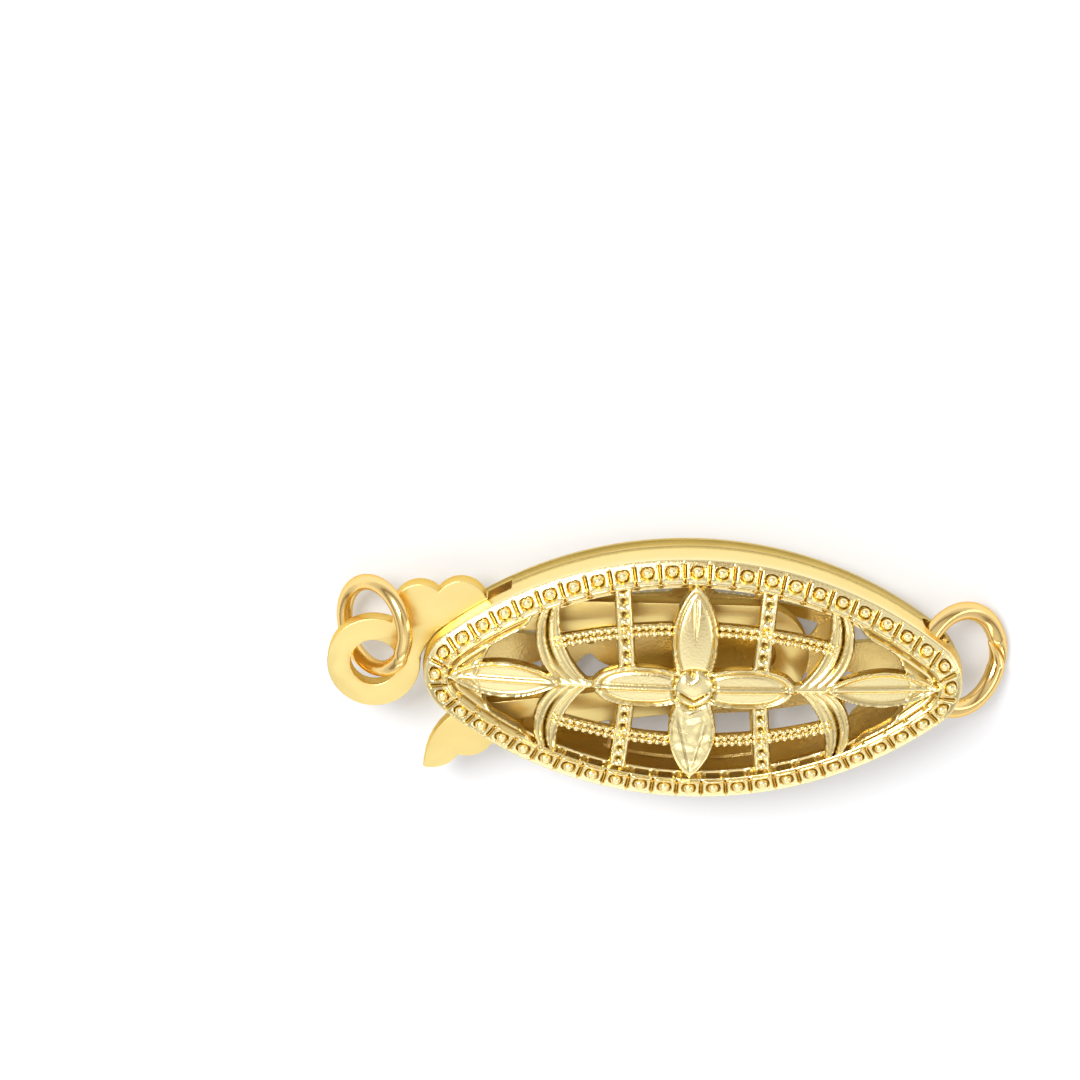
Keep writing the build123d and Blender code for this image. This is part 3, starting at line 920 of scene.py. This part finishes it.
# %% Beads along a curve
def bead_tree():
    """Node tree: evenly spaced, dimpled beads along a curve."""
    board, values = growth_tree("beads_along_curve", {
        "Curve": "Geometry", "Count": "Int", "Radius": "Float", "Dimple": "Float", "Segments": "Int",
        "Seed": "Int", "Material": "Material",
    })
    points = board.add(
        "GeometryNodeCurveToPoints", {"Curve": values["Curve"], "Count": values["Count"]}, mode="COUNT"
    )
    ball = board.add("GeometryNodeMeshUVSphere", {
        "Segments": values["Segments"], "Rings": values["Segments"], "Radius": values["Radius"],
    })
    place = board.add("GeometryNodeInputPosition")
    x, y, z = (board.add("ShaderNodeSeparateXYZ", {0: place}, out=axis) for axis in range(3))
    from_axis = x.math("SQRT", x * x + y * y)
    hollow = board.add("ShaderNodeMapRange", {
        "Value": from_axis, "From Min": values["Radius"] * 0.05, "From Max": values["Radius"] * 0.55,
        "To Min": 1.0, "To Max": 0.0,
    }, interpolation_type="SMOOTHSTEP")
    above = z.math("GREATER_THAN", z, 0.0)
    shift = board.add("ShaderNodeCombineXYZ", {2: -1.0 * (hollow * above * values["Dimple"])})
    ball = board.add("GeometryNodeSetPosition", {"Geometry": ball, "Offset": shift})
    size = board.add("FunctionNodeRandomValue", {2: 0.90, 3: 1.08, "Seed": values["Seed"]}, out=1)
    beads = board.add("GeometryNodeInstanceOnPoints", {"Points": points, "Instance": ball, "Scale": size})
    return end_tree(board, beads, values["Material"])


beads_along_curve = bead_tree()

# %% [markdown]
# A pearl has a worn dimple on top. On the back half the whole row is mirrored, and its faces turned round
# again.

# %% Pearls of the border
pearl_radius = 0.145
pearl_dimple = 0.028
pearl_height = rim_height + border_rise / 2 - 0.035
pearl_path_points = 20 * cell_count


def pearls(face_up):
    """The row of pearls in one border's cells."""
    run = np.arange(pearl_path_points) * border_run / pearl_path_points
    facing, _ = facing_along(run, cell_inset)
    x, y = outline_point(facing, cell_inset)
    z = np.full(x.shape, seam_height + face_up * pearl_height)
    path = path_curve("pearl_path", list(zip(x, y, z)), True)
    values = {
        "Count": cell_count, "Radius": pearl_radius * MM, "Dimple": pearl_dimple * MM, "Segments": 14,
        "Seed": 4, "Material": cast_gold,
    }
    made = grown(path, beads_along_curve, values, "pearls")
    if face_up < 0:
        shape = bmesh.new()
        shape.from_mesh(made.data)
        for corner in shape.verts:
            corner.co.z = 2 * (seam_height - pearl_height) * MM - corner.co.z
        bmesh.ops.reverse_faces(shape, faces=shape.faces)
        shape.to_mesh(made.data)
        shape.free()
    return made


# %% [markdown]
# Each rail carries two ropes side by side. They follow its arc, sunk so far that about half of each bead
# shows.

# %% Ropes of beads on the rails, and the shell put together
rope_bead_radius = 0.088
rope_bead_pitch = 0.185
rope_half_gap = 0.085
rope_drop = 0.165
rope_path_points = 120


def ropes(face_up):
    """The two ropes of beads on each of a face's rails."""
    made = []
    curve_x, curve_y, radius = circle_through(*rail_curve)
    turn = np.arctan2(rail_reach - 0.1, rail_end - curve_y)
    turns = np.linspace(-turn, turn, rope_path_points)
    values = {
        "Count": int(2 * turn * radius / rope_bead_pitch), "Radius": rope_bead_radius * MM, "Dimple": 0.0,
        "Segments": 8, "Seed": 9, "Material": cast_gold,
    }
    for side in (1, -1):
        for offset in (rope_half_gap, -rope_half_gap):
            x = curve_x + (radius + offset) * np.sin(turns)
            y = side * (curve_y + (radius + offset) * np.cos(turns))
            z = seam_height + face_up * vault(x, y, rope_drop)
            path = path_curve("rope_path", list(zip(x, y, z)), False)
            made.append(grown(path, beads_along_curve, values, "rope"))
    return made


def joined(pieces):
    """Several meshes joined into the first."""
    with bpy.context.temp_override(active_object=pieces[0], selected_editable_objects=pieces):
        bpy.ops.object.join()
    return pieces[0]


front_rim = joined([front_rim, pearls(1)])
back_rim = joined([back_rim, pearls(-1)])
front_filigree = joined([front_filigree, *ropes(1)])
back_filigree = joined([back_filigree, *ropes(-1)])
for piece in (front_rim, back_rim, front_filigree, back_filigree):
    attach(piece, "shell")
    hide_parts("shell")
    piece.data.calc_loop_triangles()
    print(piece.name, "triangles:", len(piece.data.loop_triangles))

# %% [markdown]
# The hook is stamped from plate, so its faces are flat and its edges only just rounded by tumbling. The
# solid's outline is right, so a copy of it is cleaned to flat faces and its edges get a small bevel. Its
# cut side faces are rougher than its rolled faces, and get painted shade.

# %% Hook
edge_bevel = 0.045 * MM
bevel_segments = 3
side_shade = 0.3


def hook_plate():
    """The hook with tumbled edges, from the solid's own outline."""
    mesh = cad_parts["tongue"].data.copy()
    shape = bmesh.new()
    shape.from_mesh(mesh)
    bmesh.ops.remove_doubles(shape, verts=shape.verts, dist=0.0005 * MM)
    bmesh.ops.dissolve_limit(shape, angle_limit=radians(0.5), verts=shape.verts, edges=shape.edges)
    shape.to_mesh(mesh)
    shape.free()
    mesh.materials.clear()
    mesh.materials.append(satin_gold)
    mesh.shade_smooth()
    painted_shade = mesh.attributes.new("painted_shade", "FLOAT", "FACE")
    # Painted shade on the cut side faces, which also roughens them.
    painted_shade.data.foreach_set("value", [side_shade * (abs(face.normal.z) < 0.5) for face in mesh.polygons])
    made = placed("hook", mesh)
    bevel = made.modifiers.new("tumbled edges", "BEVEL")
    bevel.width = edge_bevel
    bevel.segments = bevel_segments
    bevel.angle_limit = radians(50)
    bevel.harden_normals = True
    return made


hook = hook_plate()
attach(hook, "tongue")
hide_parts("tongue")
print("hook faces:", len(hook.data.polygons))

# %% [markdown]
# A jump ring is wire wound on a rod and cut with pliers, which pinch its ends. The wire is a round section
# swept along a curve, and the sweep's scale thins it over a short taper at each end.

# %% Wire along a curve
def wire_tree():
    """Node tree: a round wire along a curve, thinner at its two cut ends."""
    board, values = growth_tree("wire_along_curve", {
        "Curve": "Geometry", "Radius": "Float", "First End": "Float", "Last End": "Float",
        "Taper": "Float", "Sides": "Int", "Material": "Material",
    })
    along = board.add("GeometryNodeSplineParameter", out="Factor")
    first, last = (board.add("ShaderNodeMapRange", {
        "Value": way, "From Max": values["Taper"], "To Min": values[end], "To Max": 1.0,
    }) for way, end in ((along, "First End"), (1.0 - along, "Last End")))
    section = board.add("GeometryNodeCurvePrimitiveCircle", {
        "Resolution": values["Sides"], "Radius": values["Radius"],
    })
    wire = board.add("GeometryNodeCurveToMesh", {
        "Curve": values["Curve"], "Profile Curve": section, "Scale": first * last, "Fill Caps": True,
    })
    return end_tree(board, wire, values["Material"])


wire_along_curve = wire_tree()

# %% [markdown]
# The shell's ring is closed badly, as in the photograph: its ends are pinched aslant to points that pass
# each other. So the path is a circle whose ends swerve, and where the wire thins, its middle moves to one
# side. The hook's ring is closed well, and shows only a fine cut.

# %% Jump rings
ring_radius = {"shell_ring": 1.33, "tongue_ring": 1.17}
wire_radius = {"shell_ring": 0.24, "tongue_ring": 0.21}
wire_sides = 32
ring_path_points = 240
swerve = 0.55


def jump_ring(node, centre, out, side, cut, laps, pass_out, pass_side, ends, taper):
    """A ring in the plane of out and side, cut at an angle from out, with ends that pass each other."""
    normal = Vector(out).cross(Vector(side))
    turns = np.linspace(cut - laps[0], cut + 2 * pi + laps[1], ring_path_points)
    pinch = taper * (turns[-1] - turns[0])
    points = []
    for turn in turns:
        from_ends = turn - turns[0], turns[-1] - turn
        outwards, inwards = ((1 - end) * max(0, 1 - way / pinch) for end, way in zip(ends, from_ends))
        away = float(1 - smooth(min(from_ends), 0, swerve)) * (1 if from_ends[0] < pi else -1)
        radius = ring_radius[node] + pass_out * away + wire_radius[node] * (outwards - inwards)
        place = Vector(centre) + (Vector(out) * cos(turn) + Vector(side) * sin(turn)) * radius
        points.append(place + normal * pass_side * away)
    path = path_curve(node + "_path", points, False)
    values = {
        "Radius": wire_radius[node] * MM, "First End": ends[0], "Last End": ends[1], "Taper": taper,
        "Sides": wire_sides, "Material": wire_gold,
    }
    made = grown(path, wire_along_curve, values, node + "_wire")
    made.data.set_sharp_from_angle(angle=radians(50))
    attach(made, node)
    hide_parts(node)
    return made


# %% [markdown]
# Each ring lies where its solid does. The shell's ring hangs from the line between its two holes and droops
# until it almost touches the table. The hook's ring leans in the eye.

# %% Rings in place
floor_gap = 0.01
eye_x = -8.375
tongue_ring_offset = 0.95
tongue_lean = radians(45)

upper_facing = side_lean + (upper_hole_along - tip_radius * side_lean) / side_radius
lower_facing = lower_hole_along / tip_radius
upper_hole, lower_hole = (
    Vector((*(float(v) for v in outline_point(np.array(facing), wall / 2)), seam_height))
    for facing in (upper_facing, lower_facing)
)
chord = (upper_hole - lower_hole).normalized()
reach = sqrt(ring_radius["shell_ring"] ** 2 - ((upper_hole - lower_hole).length / 2) ** 2)
droop = np.arcsin((seam_height - wire_radius["shell_ring"] - floor_gap) / (reach + ring_radius["shell_ring"]))
ring_out = Vector((chord.y, -chord.x, 0)) * cos(droop) - Vector((0, 0, sin(droop)))
shell_ring = jump_ring(
    "shell_ring", (upper_hole + lower_hole) / 2 + ring_out * reach, ring_out, chord,
    cut=-0.33, laps=(0.06, 0.48), pass_out=0.045, pass_side=0.03, ends=(0.12, 0.12), taper=0.085,
)
tongue_out = Vector((cos(tongue_lean), 0, sin(tongue_lean)))
tongue_ring = jump_ring(
    "tongue_ring", Vector((eye_x, tongue_ring_offset, seam_height)), tongue_out, Vector((0, 1, 0)),
    cut=-0.5, laps=(-0.02, -0.02), pass_out=0.0, pass_side=0.04, ends=(0.9, 0.9), taper=0.02,
)
print("rings:", [len(ring.data.polygons) for ring in (shell_ring, tongue_ring)])

# %% [markdown]
# The clasp lies on white paper, far larger than the view. It gives off a little light, as paper does that
# is lit from all round.

# %% Floor
def floor():
    """A plain white floor."""
    mesh = bpy.data.meshes.new("floor")
    reach = 400 * MM
    corners = [(-reach, -reach, 0), (reach, -reach, 0), (reach, reach, 0), (-reach, reach, 0)]
    mesh.from_pydata(corners, [], [(0, 1, 2, 3)])
    paper = bpy.data.materials.new("white_paper")
    paper.use_nodes = True
    board = Board(paper.node_tree)
    shader = paper.node_tree.nodes["Principled BSDF"]
    place = board.add("ShaderNodeTexCoord", out="Object")
    fibres = board.add("ShaderNodeTexNoise", {"Vector": place, "Scale": 0.3 / MM, "Detail": 2.0})
    tone = board.mix(fibres, (0.745, 0.75, 0.765, 1), (0.765, 0.77, 0.785, 1))
    board.feed(shader, {
        "Base Color": tone, "Roughness": 0.9, "Specular IOR Level": 0.1,
        "Emission Color": (0.88, 0.92, 1.0, 1), "Emission Strength": 0.15,
    })
    mesh.materials.append(paper)
    made = placed("floor", mesh)
    return made


floor()

# %% [markdown]
# Gold shows its surroundings. A jeweller's table has soft boxes above it and dark gaps between them, and
# the gaps draw the dark lines that let the relief be read.

# %% Lights
def soft_box(name, towards, distance, width, height, radiance, colour=(1, 1, 1)):
    """A rectangular light of a given brightness, in a direction from the clasp."""
    light = bpy.data.lights.new(name, "AREA")
    light.shape = "RECTANGLE"
    light.size = width * MM
    light.size_y = height * MM
    light.energy = radiance * pi * light.size * light.size_y
    light.color = colour
    made = placed(name, light)
    away = Vector(towards).normalized()
    made.location = away * distance * MM
    made.rotation_mode = "QUATERNION"
    made.rotation_quaternion = away.to_track_quat("Z", "Y")
    return made


soft_boxes = [
    soft_box("key", (-0.38, 0.46, 0.80), 260, 110, 110, 13.0, (0.97, 0.98, 1.0)),
    soft_box("overhead", (-0.05, -0.40, 0.90), 280, 200, 110, 0.35),
    soft_box("front", (0.1, -0.85, 0.42), 280, 240, 70, 2.2),
    soft_box("right", (0.92, 0.1, 0.40), 280, 70, 200, 2.0),
]
print("soft boxes:", [box.name for box in soft_boxes])

# %% [markdown]
# The room is pale, with a dark band just under eye level and a dark round where the photographer stands.

# %% Surroundings
world = bpy.data.worlds.new("studio")
bpy.context.scene.world = world
world.use_nodes = True
board = Board(world.node_tree)
towards = board.add("ShaderNodeTexCoord", out="Generated")
height = board.add("ShaderNodeSeparateXYZ", {0: towards}, out=2)
sky = board.add("ShaderNodeValToRGB", {"Fac": height}, stops=[
    (0.0, (0.95, 0.95, 1.0)), (0.22, (0.90, 0.90, 0.93)), (0.34, (0.22, 0.12, 0.02)),
    (0.50, (0.74, 0.74, 0.74)), (0.85, (1.0, 1.0, 1.0)),
])
to_lens = board.add("ShaderNodeVectorMath", {0: towards, 1: back}, out="Value", operation="DOT_PRODUCT")
lens_shade = board.add("ShaderNodeMapRange", {"Value": to_lens, "From Min": 0.93, "From Max": 0.98})
sky = board.mix(lens_shade, sky, (0.30, 0.17, 0.04, 1))
board.feed(world.node_tree.nodes["Background"], {"Color": sky, "Strength": 0.86})
bpy.context.scene.view_settings.view_transform = "Standard"
